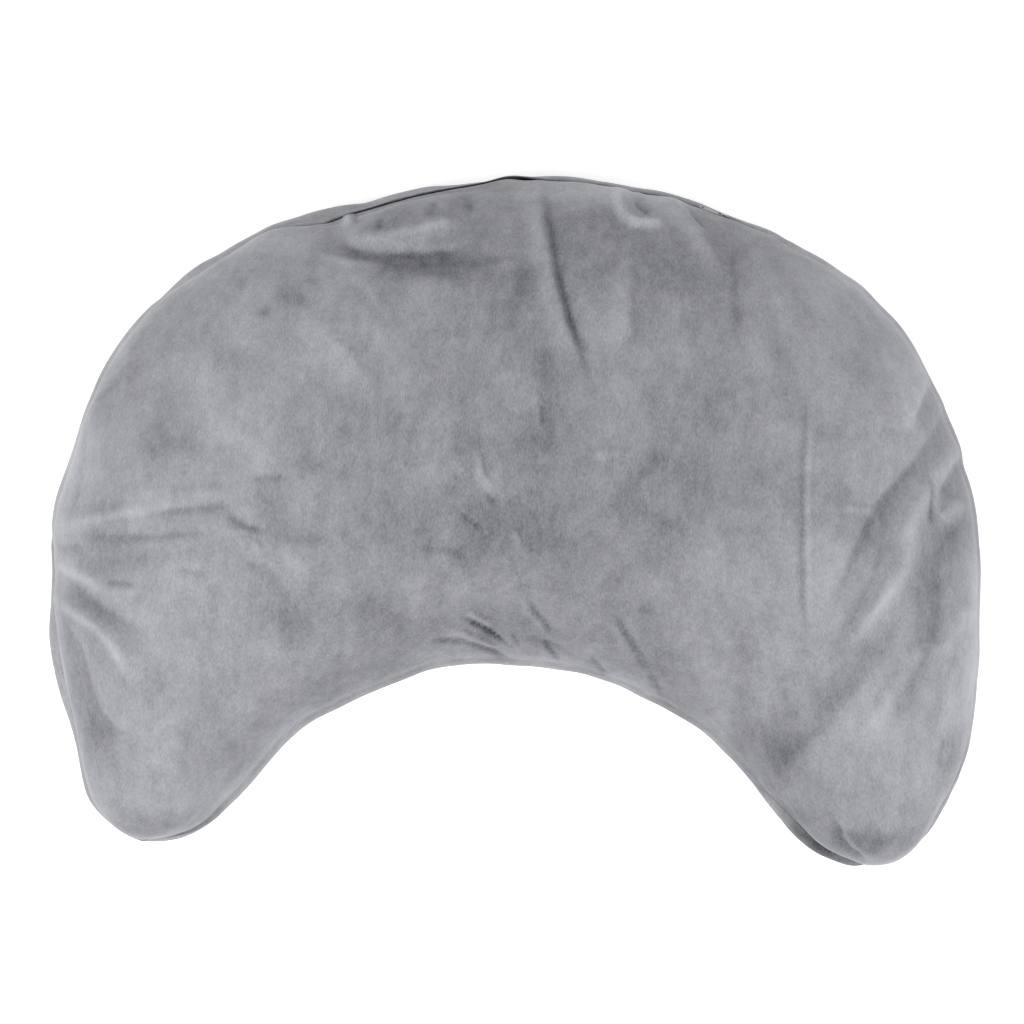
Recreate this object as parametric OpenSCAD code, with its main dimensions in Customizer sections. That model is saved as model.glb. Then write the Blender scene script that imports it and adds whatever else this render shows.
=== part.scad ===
// Nursing pillow: a stuffed, curved insert inside a loose velvet slipcover.
// The cover closes with a concealed coil zip in its rear seam.
// Frame: the pillow lies flat, +Z up, arms pointing to -Y, zip on the +Y side,
// origin under the centre of its box on the surface that it lies on.

/* [Outline] */
// Radius of the long rear edge
rear_r = 386; // [370:1:400]
// Turn of the rear edge from its middle to the shoulder, degrees
rear_turn = 31; // [30:0.5:32]
// Radius of each shoulder
shoulder_r = 184; // [175:1:195]
// Turn of each shoulder, degrees
shoulder_turn = 37; // [36:0.5:38]
// Radius of each outer side
side_r = 345; // [330:1:360]
// Turn of each outer side, degrees
side_turn = 44; // [43:0.5:45]
// Radius of each arm's round end
tip_r = 53; // [50:1:56]
// Turn of each arm's end, degrees
tip_turn = 118; // [116:0.5:120]
// Radius of the waist recess
waist_r = 211; // [200:1:220]

/* [Loft] */
// Height of the seam above the surface
seam_z = 50; // [46:1:54]
// Drop from the seam to the widest line
bulge_drop = 18; // [14:1:20]
// Distance of the seam inside the outline
seam_inset = 5; // [4:0.5:6]
// Rise of the arms above the seam
arm_rise = 50; // [44:1:54]
// Rise of the middle above the seam
middle_rise = 66; // [60:1:72]
// Chord at which an arm reaches its full height
full_chord = 130; // [115:1:140]
// Width of the rounding under each edge
under_round = 42; // [36:1:48]

/* [Fabric] */
// Thickness of the velvet
velvet_t = 2; // [1.6:0.1:2.2]
// Thickness of the insert's casing cloth
casing_t = 1.2; // [1:0.1:1.4]
// Depth of the seam allowance inside the cover
allowance = 8; // [7:0.5:9]
// Half of the gap between the two panels' edges
lip_gap = 0.6; // [0.55:0.05:0.65]
// Distance of the insert inside the cover's outline
insert_inset = 15; // [14:0.5:17]
// Distance of the insert below the top of the cover
insert_drop = 4; // [3.6:0.1:5]

/* [Zip] */
// Radius of the zip's path about its own centre
zip_r = 338; // [336:1:340]
// Sideways place of that centre
zip_x = 10; // [9:0.5:11]
// Place of that centre along Y
zip_y = -125.5; // [-126.5:0.5:-124.5]
// Angle of the zip's closed end about that centre, degrees from +X
zip_closed_a = 69.2; // [69:0.1:70]
// Angle of the zip's far end
zip_open_a = 111.7; // [111:0.1:112]
// Lean of the zip's outward direction above the horizontal, degrees
zip_lean = 30; // [29:0.5:31]
// Width of the slider
slider_w = 8; // [7.6:0.1:8.2]
// Length of the slider
slider_l = 9.2; // [8.6:0.1:9.6]
// Length of the pull tab
tab_l = 17; // [14:0.5:19]
// Width of the pull tab
tab_w = 5; // [4.6:0.1:5.4]

/* [Hidden] */
deg = 180 / PI;

// ---- The outline: arcs that follow each other clockwise from the rear centre.
// A heading is clockwise from +X.
function ahead(h) = [cos(h), -sin(h)];
function inward(h) = [-sin(h), -cos(h)];
h1 = rear_turn;
h2 = h1 + shoulder_turn;
h3 = h2 + side_turn;
h4 = h3 + tip_turn;
from_rear_3 = -rear_r * [0, 1] - (rear_r - shoulder_r) * inward(h1)
    - (shoulder_r - side_r) * inward(h2);
from_rear_4 = from_rear_3 - (side_r - tip_r) * inward(h3);
rear_y = (tip_r - from_rear_4.y) / 2;
c1 = [0, rear_y - rear_r];
c2 = c1 - (rear_r - shoulder_r) * inward(h1);
c3 = c2 - (shoulder_r - side_r) * inward(h2);
c4 = c3 - (side_r - tip_r) * inward(h3);
tip_end = c4 - tip_r * inward(h4);
arm_straight = (waist_r * inward(h4).x - tip_end.x) / ahead(h4).x;
waist_start = tip_end + arm_straight * ahead(h4);
c5 = waist_start - waist_r * inward(h4);
s1 = rear_r * h1 / deg;
s2 = s1 + shoulder_r * shoulder_turn / deg;
s3 = s2 + side_r * side_turn / deg;
s4 = s3 + tip_r * tip_turn / deg;
s5 = s4 + arm_straight;
s6 = s5 + waist_r * (h4 - 180) / deg;
s_tip = s3 + (s4 - s3) / 2;

// Heading at a distance along the outline
function heading(s) =
    s < s1 ? s / rear_r * deg :
    s < s2 ? h1 + (s - s1) / shoulder_r * deg :
    s < s3 ? h2 + (s - s2) / side_r * deg :
    s < s4 ? h3 + (s - s3) / tip_r * deg :
    s < s5 ? h4 : h4 - (s - s5) / waist_r * deg;

// Point at a distance along the outline
function edge(s) = let (v = inward(heading(s)))
    s < s1 ? c1 - rear_r * v :
    s < s2 ? c2 - shoulder_r * v :
    s < s3 ? c3 - side_r * v :
    s < s4 ? c4 - tip_r * v :
    s < s5 ? tip_end + (s - s4) * ahead(h4) : c5 + waist_r * v;

function sided(p, side) = [side * p.x, p.y];
function smooth(x) = let (t = max(0, min(1, x))) t * t * (3 - 2 * t);
function mix(a, b, t) = a + (b - a) * t;

// ---- The zip's path, and how far its share of the seam reaches
zip_mid_a = (zip_closed_a + zip_open_a) / 2;
zip_half_a = (zip_open_a - zip_closed_a) / 2;
zip_hold = 8;
zip_fade = 45;
function zip_angle(p) = atan2(p.y - zip_y, p.x - zip_x);
function zip_share(p) =
    p.y < 0 ? 0 :
    1 - smooth(((abs(zip_angle(p) - zip_mid_a) - zip_half_a) * zip_r / deg - zip_hold) / zip_fade);
// Distance from an outline point, inward, to the zip's circle
function to_zip(p, out) =
    let (v = p - [zip_x, zip_y], along = v * out)
    along - sqrt(along * along - v * v + zip_r * zip_r);

// ---- Sections: chords from the waist side to the outer side of the outline
inner_power = 1.6;
function section(u, side) = let (
    so = s_tip - u * s_tip,
    si = s_tip + (1 - pow(1 - u, inner_power)) * (s6 - s_tip),
    po = sided(edge(so), side),
    pi = sided(edge(si), side),
    w = norm(po - pi)
) [pi, -sided(inward(heading(si)), side), po, -sided(inward(heading(so)), side),
    w, w >= full_chord ? 1 : 1 - pow(1 - w / full_chord, 2)];

// Share of the outer chain at each section of one half, from the tip
tip_steps = [3, 9, 17, 26, 36, 47, 60];
tip_reach = 60;
zip_reach = 145;
function half_rows(step, fine) = concat(
    [for (t = tip_steps) t / s_tip],
    let (n = ceil((s_tip - zip_reach - tip_reach) / step))
        [for (i = [1:n]) (tip_reach + (s_tip - zip_reach - tip_reach) * i / n) / s_tip],
    let (n = ceil(zip_reach / fine))
        [for (i = [1:n]) (s_tip - zip_reach + zip_reach * i / n) / s_tip]);
function rows(step, fine) = let (half = half_rows(step, fine), n = len(half))
    concat([for (u = half) section(u, -1)], [for (i = [n - 2:-1:0]) section(half[i], 1)]);

// ---- A layer of cloth: [inset at the widest line, inset at the seam, drop below the top,
// height of its underside, thickness, depth of its allowance, allowance along the zip,
// room behind the zip's circle, or 0 where the seam is on it]
cover_layer = [0, seam_inset, 0, 0, velvet_t, allowance, velvet_t + 0.8, 0];
zip_room = 10.5;
casing_layer = [insert_inset, insert_inset + 3, insert_drop, velvet_t + 1.2, casing_t,
    casing_t + 0.8, casing_t + 0.8, zip_room];
fill_gap = 3.2;
fill_layer = [insert_inset + fill_gap, insert_inset + fill_gap + 3, insert_drop + fill_gap,
    velvet_t + 1.2 + fill_gap, 0, 0, 0, zip_room + fill_gap];

function plan_inset(layer, p, out, k) = let (
    share = zip_share(p),
    base = layer[1],
    own = layer[7] == 0 ? base : layer[0] + (base - layer[0]) * k
) mix(layer[7] == 0 ? base * k : own,
    share > 0 ? max(layer[7] == 0 ? 0 : layer[0] + 1, to_zip(p, out) + layer[7]) : 0, share);
function lift(p, z) = [p.x, p.y, z];
function chord_ease(row, layer) = let (w = norm(
    (row[2] - layer[0] * row[3]) - (row[0] - layer[0] * row[1])))
    w >= full_chord ? 1 : 1 - pow(1 - w / full_chord, 2);

// Directions across the zip: out of the slit, and up over its width
function zip_out(out) = [cos(zip_lean) * out.x, cos(zip_lean) * out.y, sin(zip_lean)];
function zip_up(out) = [-sin(zip_lean) * out.x, -sin(zip_lean) * out.y, cos(zip_lean)];
function seam_point(layer, p, out, k) = lift(p - plan_inset(layer, p, out, k) * out, seam_z);

// Upper surface of a layer along one section, from the waist side
function top_curve(layer, row, n, lips) = let (
    k = chord_ease(row, layer),
    a = seam_point(layer, row[0], row[1], k),
    b = seam_point(layer, row[2], row[3], k),
    rise = mix(arm_rise, middle_rise, smooth((row[4] - full_chord) / 180)) - layer[2],
    high = rise + bulge_drop,
    reach = sqrt(1 - pow(bulge_drop / high, 2)),
    last = asin(reach)
) [for (j = [0:n])
    j == 0 ? a + lips * zip_up(row[1]) :
    j == n ? b + lips * zip_up(row[3]) :
    let (f = last * (2 * j / n - 1), r = sin(f) / reach)
        (a + b) / 2 + (b - a) / 2 * r + [0, 0, k * (high * cos(f) - bulge_drop)]];

// Lower surface of a layer along one section, from the waist side
bulge_steps = [0.66, 0.33, 0];
under_steps = [30, 60, 90];
function under_side(layer, row, k, near, far, out_near) = let (
    p = near - layer[0] * out_near,
    q = far,
    seam_d = plan_inset(layer, near, out_near, k),
    mid = (p + q) / 2,
    flat_share = max(0.5, 1 - under_round / norm(p - mid)),
    widest = seam_z - bulge_drop
) concat(
    [for (t = bulge_steps) lift(near - mix(layer[0], seam_d, t * t) * out_near,
        seam_z - k * bulge_drop * (1 - t))],
    [for (f = under_steps) let (r = flat_share + (1 - flat_share) * cos(f))
        lift(mid + (p - mid) * r, mix(seam_z, layer[3] + (widest - layer[3]) * (1 - sin(f)), k))]);
function reversed(v) = [for (i = [len(v) - 1:-1:0]) v[i]];
function under_curve(layer, row, lips) = let (
    k = chord_ease(row, layer),
    a = seam_point(layer, row[0], row[1], k),
    b = seam_point(layer, row[2], row[3], k),
    pa = row[0] - layer[0] * row[1],
    pb = row[2] - layer[0] * row[3]
) concat(
    [a - lips * zip_up(row[1])],
    under_side(layer, row, k, row[0], pb, row[1]),
    [lift((pa + pb) / 2, mix(seam_z, layer[3], k))],
    reversed(under_side(layer, row, k, row[2], pa, row[3])),
    [b - lips * zip_up(row[3])]);

// ---- A panel: its outer grid, an inner grid one thickness inside, and its allowance
function unit(v) = v / norm(v);
function grid_normal(g, i, j) = let (
    n = len(g) - 1,
    along = g[min(n, i + 1)][j] - g[max(0, i - 1)][j],
    over = g[i][j + 1] - g[i][j - 1]
) unit(cross(along, over));

module panel(layer, table, grid, up) {
    n = len(grid) - 1;
    m = len(grid[0]) - 1;
    t = layer[4];
    inside = [for (i = [0:n]) [for (j = [0:m])
        j == 0 || j == m ?
            let (out = table[i][j == 0 ? 1 : 3])
                grid[i][j] + t * up * zip_up(out) - t * zip_out(out) :
            grid[i][j] - t * up * grid_normal(grid, i, j)]];
    loop = concat([for (i = [0:n]) [i, 0]], [for (i = [n:-1:0]) [i, m]]);
    allowance_edge = [for (e = loop) let (
        side = e[1] == 0 ? 0 : 2,
        out = table[e[0]][side + 1],
        depth = mix(layer[5], layer[6], zip_share(table[e[0]][side]))
    ) grid[e[0]][e[1]] - depth * zip_out(out)];
    allowance_back = [for (a = [0:len(loop) - 1]) let (e = loop[a])
        allowance_edge[a] + t * up * zip_up(table[e[0]][e[1] == 0 ? 1 : 3])];
    outer_flat = [for (r = grid) each r];
    inner_flat = [for (r = inside) each r];
    k = len(outer_flat);
    count = len(loop);
    function at(e) = e[0] * (m + 1) + e[1];
    function strip(f, g) = [for (a = [0:count - 1]) let (b = (a + 1) % count)
        each [[f[a], f[b], g[b]], [f[a], g[b], g[a]]]];
    rim_0 = [for (e = loop) at(e)];
    rim_1 = [for (a = [0:count - 1]) 2 * k + a];
    rim_2 = [for (a = [0:count - 1]) 2 * k + count + a];
    rim_3 = [for (e = loop) k + at(e)];
    skin = [for (i = [0:n - 1]) for (j = [0:m - 1])
        let (a = at([i, j]), b = at([i + 1, j]), c = at([i + 1, j + 1]), d = at([i, j + 1]))
        each [[a, d, c], [a, c, b]]];
    caps = concat(
        [for (j = [1:m - 1]) [at([0, 0]), at([0, j + 1]), at([0, j])]],
        [for (j = [1:m - 1]) [at([n, 0]), at([n, j]), at([n, j + 1])]]);
    outer_faces = concat(skin, caps);
    inner_faces = [for (f = outer_faces) [f[0] + k, f[2] + k, f[1] + k]];
    rims = concat(strip(rim_0, rim_1), strip(rim_1, rim_2), strip(rim_2, rim_3));
    faces = concat(outer_faces, inner_faces, rims);
    polyhedron(
        concat(outer_flat, inner_flat, allowance_edge, allowance_back),
        up > 0 ? faces : [for (f = faces) reversed(f)], convexity = 6);
}

// A closed solid through rings of points, with a fan at each end
module lofted(rings) {
    n = len(rings) - 1;
    m = len(rings[0]);
    polyhedron([for (r = rings) each r], concat(
        [for (i = [0:n - 1]) for (j = [0:m - 1]) let (k = (j + 1) % m)
            each [[i * m + j, i * m + k, (i + 1) * m + k], [i * m + j, (i + 1) * m + k, (i + 1) * m + j]]],
        [for (j = [1:m - 2]) [0, j + 1, j]],
        [for (j = [1:m - 2]) [n * m, n * m + j, n * m + j + 1]]), convexity = 6);
}

// ---- The cover
cover_rows = rows(34, 19);
cover_top_columns = 10;

module cover_top_panel() {
    grid = [for (r = cover_rows) top_curve(cover_layer, r, cover_top_columns, lip_gap)];
    color("#a3a3a5") panel(cover_layer, cover_rows, grid, 1);
}

module cover_bottom_panel() {
    grid = [for (r = cover_rows) under_curve(cover_layer, r, lip_gap)];
    color("#979799") panel(cover_layer, cover_rows, grid, -1);
}

// One thread between the two allowances, all round but for the zip
thread_r = 0.4;
thread_depth = 5;
thread_sides = 4;
module cover_seam_thread() {
    ends = [for (r = cover_rows) each [if (zip_share(r[2]) < 0.05) r]];
    left = [for (r = ends) if (r[2].x < 0) r];
    right = [for (r = ends) if (r[2].x > 0) r];
    path = concat(
        [for (r = reversed(left)) [r[2], r[3], r[5]]],
        [for (r = cover_rows) [r[0], r[1], r[5]]],
        [for (r = reversed(right)) [r[2], r[3], r[5]]]);
    rings = [for (p = path) let (
        s = seam_point(cover_layer, p[0], p[1], p[2]) - thread_depth * zip_out(p[1])
    ) [for (a = [0:thread_sides - 1]) let (f = a * 360 / thread_sides)
        s + thread_r * (cos(f) * zip_out(p[1]) + sin(f) * zip_up(p[1]))]];
    color("#8b8b8d") lofted(rings);
}

// A blank label held in the waist seam, hanging inside the cover
label_w = 30;
label_t = 0.4;
label_drop = 20;
module care_label() {
    y = edge(s6).y + seam_inset;
    from = thread_depth + thread_r + 0.2;
    to = allowance + 2;
    up = [sin(zip_lean), cos(zip_lean)] * label_t / 2;
    near = [y + from * cos(zip_lean), seam_z - from * sin(zip_lean)];
    far = [y + to * cos(zip_lean), seam_z - to * sin(zip_lean)];
    color("white") translate([-label_w / 2, 0, 0]) rotate([90, 0, 90])
        linear_extrude(label_w) polygon([near + up, near - up, far - up,
            far + [0, -label_drop], far + [label_t, -label_drop], far + [label_t, 0], far + up]);
}

// ---- The zip, in a section where c runs up across it and n runs out of it
coil_in = lip_gap;
coil_out = 2.6;
coil_n = [-6.4, -4.2];
tape_n = [-5.55, -5.05];
tape_edge = 11;
tape_start = coil_out + 0.03;
slider_half_a = slider_l / 2 / zip_r * deg;
coil_margin_a = 0.5;
coil_start_a = zip_closed_a + coil_margin_a;
coil_end_a = zip_open_a - coil_margin_a;
slider_a = coil_start_a + slider_half_a + 0.12;
function across(c, n) = [zip_r + n * cos(zip_lean) - c * sin(zip_lean),
    seam_z + n * sin(zip_lean) + c * cos(zip_lean)];

module along_zip(from, to) {
    translate([zip_x, zip_y, 0]) rotate_extrude(angle = to - from, start = from, $fn = 720)
        children();
}

module zip_tape_upper() {
    color("#8e8e90") along_zip(zip_closed_a - 0.6, zip_open_a + 0.6)
        polygon([across(tape_start, tape_n[0]), across(tape_start, tape_n[1]),
            across(tape_edge, tape_n[1]), across(tape_edge, tape_n[0])]);
}

// The lower tape turns down beside the lower panel
tape_bend_c = -4.6;
tape_hang = 8;
module zip_tape_lower() {
    bend = across(tape_bend_c, tape_n[1]);
    back_r = bend[0] - (tape_n[1] - tape_n[0]);
    back_c = (zip_r + tape_n[0] * cos(zip_lean) - back_r) / sin(zip_lean);
    color("#8e8e90") along_zip(zip_closed_a - 0.6, zip_open_a + 0.6)
        polygon([across(-tape_start, tape_n[1]), bend, bend - [0, tape_hang],
            [back_r, bend[1] - tape_hang], across(back_c, tape_n[0]),
            across(-tape_start, tape_n[0])]);
}

// Each coil is a round-edged bead that the slider runs along
module coil(side) {
    c = side * (coil_in + coil_out) / 2;
    mid = (coil_n[0] + coil_n[1]) / 2;
    half_w = (coil_out - coil_in) / 2;
    half_n = (coil_n[1] - coil_n[0]) / 2;
    corner = 0.5;
    along_zip(coil_start_a, coil_end_a)
        polygon([for (q = [[1, 1], [-1, 1], [-1, -1], [1, -1]]) let (
            a = across(c + q.x * half_w, mid + q.y * (half_n - corner)),
            b = across(c + q.x * (half_w - corner), mid + q.y * half_n)
        ) each q.x * q.y > 0 ? [a, b] : [b, a]]);
}

module zip_coil_upper() {
    color("#77777a") coil(1);
}

module zip_coil_lower() {
    color("#77777a") coil(-1);
}

stop_n = [-6.7, -3.9];
module stop_block(c_from, c_to, a_from, a_to) {
    along_zip(a_from, a_to)
        polygon([across(c_from, stop_n[0]), across(c_from, stop_n[1]),
            across(c_to, stop_n[1]), across(c_to, stop_n[0])]);
}

module zip_top_stops() {
    color("#b8b8ba") for (side = [-1, 1])
        stop_block(side * coil_in, side * coil_out, zip_closed_a, coil_start_a - 0.05);
}

module zip_bottom_stop() {
    color("#b8b8ba") stop_block(-coil_out, coil_out, coil_end_a + 0.05, zip_open_a);
}

// Bar tacks close the slit just past both ends of the zip
tack_half = 0.45;
tack_n = [-2.6, 0.3];
module zip_end_tacks() {
    color("#858587") for (a = [zip_closed_a - 0.9, zip_open_a + 0.2])
        along_zip(a, a + 0.7)
            polygon([across(-tack_half, tack_n[0]), across(-tack_half, tack_n[1]),
                across(tack_half, tack_n[1]), across(tack_half, tack_n[0])]);
}

// Rows of stitches that hold the tapes to the panels
stitch_r = 0.3;
stitch_a = 0.55;
stitches = 44;
upper_row_c = 8;
lower_row_drop = 5;
module zip_stitching() {
    behind = stitch_r + 0.02;
    bend = across(tape_bend_c, tape_n[1]);
    seats = [across(upper_row_c, tape_n[0] - behind),
        [bend[0] - (tape_n[1] - tape_n[0]) - behind, bend[1] - lower_row_drop]];
    color("#858587") for (i = [0:stitches - 1], seat = seats) {
        a = zip_closed_a + (i + 0.2) * (zip_open_a - zip_closed_a) / stitches;
        along_zip(a, a + stitch_a) translate(seat) circle(stitch_r, $fn = 16);
    }
}

// ---- The slider: x out of the slit, y along the zip towards its far end, z across
channel_n = [-6.8, -3.95];
plate_n = [-7.7, -3.15];
slot_n = [-5.95, -4.65];
channel_half = 2.95;
post_half = 0.35;
neck_half = 0.35;
neck_y = [-2.2, 1.8];
neck_top = 1.4;
bail_top = 4.3;
pin_n = 2.75;
pin_y = -0.2;
pin_r = 0.6;

module at_slider() {
    translate([zip_x, zip_y, seam_z]) rotate([0, 0, slider_a]) translate([zip_r, 0, 0])
        rotate([0, -zip_lean, 0]) children();
}

module block(x, y, z) {
    translate([x[0], y[0], z[0]]) cube([x[1] - x[0], y[1] - y[0], z[1] - z[0]]);
}

module zip_slider_body() {
    half_l = slider_l / 2;
    half_w = slider_w / 2;
    color("silver") at_slider() {
        difference() {
            intersection() {
                block(plate_n, [-half_l, half_l], [-half_w, half_w]);
                translate([plate_n[0] - 1, 0, 0]) rotate([0, 90, 0])
                    cylinder(h = 8, r = half_l + 0.5, $fn = 64);
            }
            block(channel_n, [-half_l - 1, half_l + 1], [-channel_half, channel_half]);
            block(slot_n, [-half_l - 1, half_l + 1], [-half_w - 1, half_w + 1]);
        }
        block([channel_n[0] - 0.2, channel_n[1] + 0.2], [-3.4, -1.2], [-post_half, post_half]);
        block([plate_n[1] - 0.2, neck_top], neck_y, [-neck_half, neck_half]);
    }
}

bail_half = 0.8;
module zip_slider_bail() {
    color("silver") at_slider() difference() {
        intersection() {
            block([neck_top, bail_top], neck_y, [-bail_half, bail_half]);
            translate([pin_n - 1, pin_y, -bail_half - 1]) cylinder(h = 4, r = 2.6, $fn = 48);
        }
        translate([pin_n, pin_y, -bail_half - 1]) cylinder(h = 4, r = pin_r + 0.15, $fn = 32);
    }
}

// The pull tab: a flat tab whose two ears hold the pin through the bail
tab_t = 1.4;
ear_in = bail_half + 0.3;
ear_out = tab_w / 2 - 0.2;
tab_start = 3.6;
module zip_pull_tab() {
    flat = [pin_n - tab_t / 2, pin_n + tab_t / 2];
    half = tab_w / 2;
    color("#a9a9ac") at_slider() {
        translate([pin_n, pin_y, -ear_out]) cylinder(h = 2 * ear_out, r = pin_r, $fn = 32);
        for (side = [-1, 1]) {
            low = side > 0 ? ear_in : -ear_out;
            translate([0, 0, low]) {
                block(flat, [pin_y, tab_start], [0, ear_out - ear_in]);
                translate([pin_n, pin_y, 0]) cylinder(h = ear_out - ear_in, r = tab_t / 2, $fn = 32);
            }
        }
        difference() {
            union() {
                block(flat, [tab_start, tab_l - half], [-half, half]);
                translate([flat[0], tab_l - half, 0]) rotate([0, 90, 0])
                    cylinder(h = tab_t, r = half, $fn = 48);
            }
            translate([flat[0] - 1, tab_l - half, 0]) rotate([0, 90, 0])
                cylinder(h = tab_t + 2, r = 1, $fn = 32);
        }
    }
}

// ---- The insert
insert_rows = rows(42, 30);
insert_top_columns = 8;

module insert_casing_top() {
    grid = [for (r = insert_rows)
        top_curve(casing_layer, r, insert_top_columns, lip_gap / 2)];
    color("#ececea") panel(casing_layer, insert_rows, grid, 1);
}

module insert_casing_bottom() {
    grid = [for (r = insert_rows) under_curve(casing_layer, r, lip_gap / 2)];
    color("#e4e4e2") panel(casing_layer, insert_rows, grid, -1);
}

// Ladder stitches that close the filling gap, on the insert's waist side
closing_stitches = 14;
closing_pitch = 6;
stitch_len = 5;
stitch_stand = 1.4;
module insert_closing_stitches() {
    color("#d8d8d5") for (i = [0:closing_stitches - 1]) {
        x = (i - (closing_stitches - 1) / 2) * closing_pitch;
        y = c5.y + sqrt(pow(waist_r + casing_layer[1], 2) - x * x);
        translate([x, y - stitch_stand, seam_z - stitch_len / 2]) cylinder(h = stitch_len, r = 0.35, $fn = 16);
    }
}

module fibre_fill() {
    rings = [for (r = insert_rows) let (
        top = top_curve(fill_layer, r, insert_top_columns, 0),
        under = under_curve(fill_layer, r, 0)
    ) concat(top, reversed([for (j = [1:len(under) - 2]) under[j]]))];
    color("#fafafa") lofted(rings);
}

cover_top_panel();
cover_bottom_panel();
cover_seam_thread();
care_label();
zip_tape_upper();
zip_tape_lower();
zip_coil_upper();
zip_coil_lower();
zip_top_stops();
zip_bottom_stop();
zip_end_tacks();
zip_stitching();
zip_slider_body();
zip_slider_bail();
zip_pull_tab();
insert_casing_top();
insert_casing_bottom();
insert_closing_stitches();
fibre_fill();
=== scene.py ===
"""Nursing pillow: a stuffed insert in a loose velvet slipcover with a concealed zip.

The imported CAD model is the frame. This script makes the camera, the light and the soft
pieces around it, in metres, in the same frame: +Z up, arms towards -Y, zip towards +Y.
"""
import math

import bpy
import numpy as np
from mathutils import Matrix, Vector


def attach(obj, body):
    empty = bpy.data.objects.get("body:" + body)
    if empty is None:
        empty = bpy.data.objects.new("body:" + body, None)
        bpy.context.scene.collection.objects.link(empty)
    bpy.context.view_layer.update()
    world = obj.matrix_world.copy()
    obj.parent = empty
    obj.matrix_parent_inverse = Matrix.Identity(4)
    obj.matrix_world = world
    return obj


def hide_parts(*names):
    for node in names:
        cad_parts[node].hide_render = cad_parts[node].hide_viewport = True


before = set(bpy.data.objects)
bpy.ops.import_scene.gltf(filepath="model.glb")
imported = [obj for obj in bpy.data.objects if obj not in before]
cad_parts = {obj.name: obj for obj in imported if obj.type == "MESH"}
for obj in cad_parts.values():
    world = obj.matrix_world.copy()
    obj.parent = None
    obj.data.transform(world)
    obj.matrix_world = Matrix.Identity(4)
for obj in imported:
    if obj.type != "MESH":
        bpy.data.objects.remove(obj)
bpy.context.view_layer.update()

MM = 0.001
RNG = np.random.default_rng(7)

# -------- camera, light, floor
LENS_MM = 85.0
SENSOR_MM = 36.0
VIEW_WIDTH = 0.6592       # width of the view where the pillow is widest
WIDEST_Z = 0.040
VIEW_CENTRE = (-0.0050, 0.0018)
VIEW_ROLL_DEG = -2.09     # the pillow leans a little clockwise in the view


def make_camera():
    data = bpy.data.cameras.new("camera")
    data.lens = LENS_MM
    data.sensor_width = SENSOR_MM
    camera = bpy.data.objects.new("camera", data)
    bpy.context.collection.objects.link(camera)
    distance = VIEW_WIDTH * LENS_MM / SENSOR_MM
    camera.location = (VIEW_CENTRE[0], VIEW_CENTRE[1], WIDEST_Z + distance)
    camera.rotation_euler = (0.0, 0.0, math.radians(-VIEW_ROLL_DEG))
    bpy.context.scene.camera = camera


def area_light(name, place, aim, size, power):
    data = bpy.data.lights.new(name, "AREA")
    data.shape = "RECTANGLE"
    data.size, data.size_y = size
    data.energy = power
    light = bpy.data.objects.new(name, data)
    bpy.context.collection.objects.link(light)
    light.location = place
    light.rotation_euler = (Vector(aim) - Vector(place)).to_track_quat("-Z", "Y").to_euler()


def make_lights():
    world = bpy.data.worlds.new("studio")
    bpy.context.scene.world = world
    world.use_nodes = True
    sky = world.node_tree.nodes["Background"]
    sky.inputs["Color"].default_value = (1.0, 1.0, 1.0, 1.0)
    sky.inputs["Strength"].default_value = 0.68
    area_light("key_light", (-0.65, -0.60, 1.6), (0.0, -0.05, 0.05), (1.0, 1.0), 24.0)
    area_light("side_light", (1.5, -0.5, 1.0), (0.0, 0.0, 0.05), (1.0, 1.0), 12.0)


def make_floor():
    bpy.ops.mesh.primitive_plane_add(size=12.0, location=(0.0, 0.0, -0.0006))
    floor = bpy.context.object
    floor.name = "floor"
    material = bpy.data.materials.new("pale_floor")
    material.use_nodes = True
    shader = material.node_tree.nodes["Principled BSDF"]
    shader.inputs["Base Color"].default_value = (0.96, 0.96, 0.96, 1.0)
    shader.inputs["Roughness"].default_value = 0.9
    shader.inputs["Specular IOR Level"].default_value = 0.1
    shader.inputs["Emission Color"].default_value = (1.0, 1.0, 1.0, 1.0)
    shader.inputs["Emission Strength"].default_value = 0.40
    floor.data.materials.append(material)


# -------- the pillow's outline
# Arcs that follow each other clockwise from the rear centre: radius in metres and turn.
REAR_R, REAR_TURN = 0.386, 31.0
SHOULDER_R, SHOULDER_TURN = 0.184, 37.0
SIDE_R, SIDE_TURN = 0.345, 44.0
TIP_R, TIP_TURN = 0.053, 118.0
WAIST_R = 0.211
SEAM_Z = 0.050
BULGE_DROP = 0.018
SEAM_INSET = 0.005
ARM_RISE = 0.050
MIDDLE_RISE = 0.066
FULL_CHORD = 0.130
UNDER_ROUND = 0.042
INNER_POWER = 1.6
ZIP_R, ZIP_X, ZIP_Y = 0.338, 0.010, -0.1255
ZIP_CLOSED_A, ZIP_OPEN_A = 69.2, 111.7
ZIP_LEAN = math.radians(30.0)
ZIP_HOLD, ZIP_FADE = 0.008, 0.045
LIP_GAP = 0.0006


def ahead(h):
    return np.stack([np.cos(h), -np.sin(h)], -1)


def inward(h):
    return np.stack([-np.sin(h), -np.cos(h)], -1)


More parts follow.
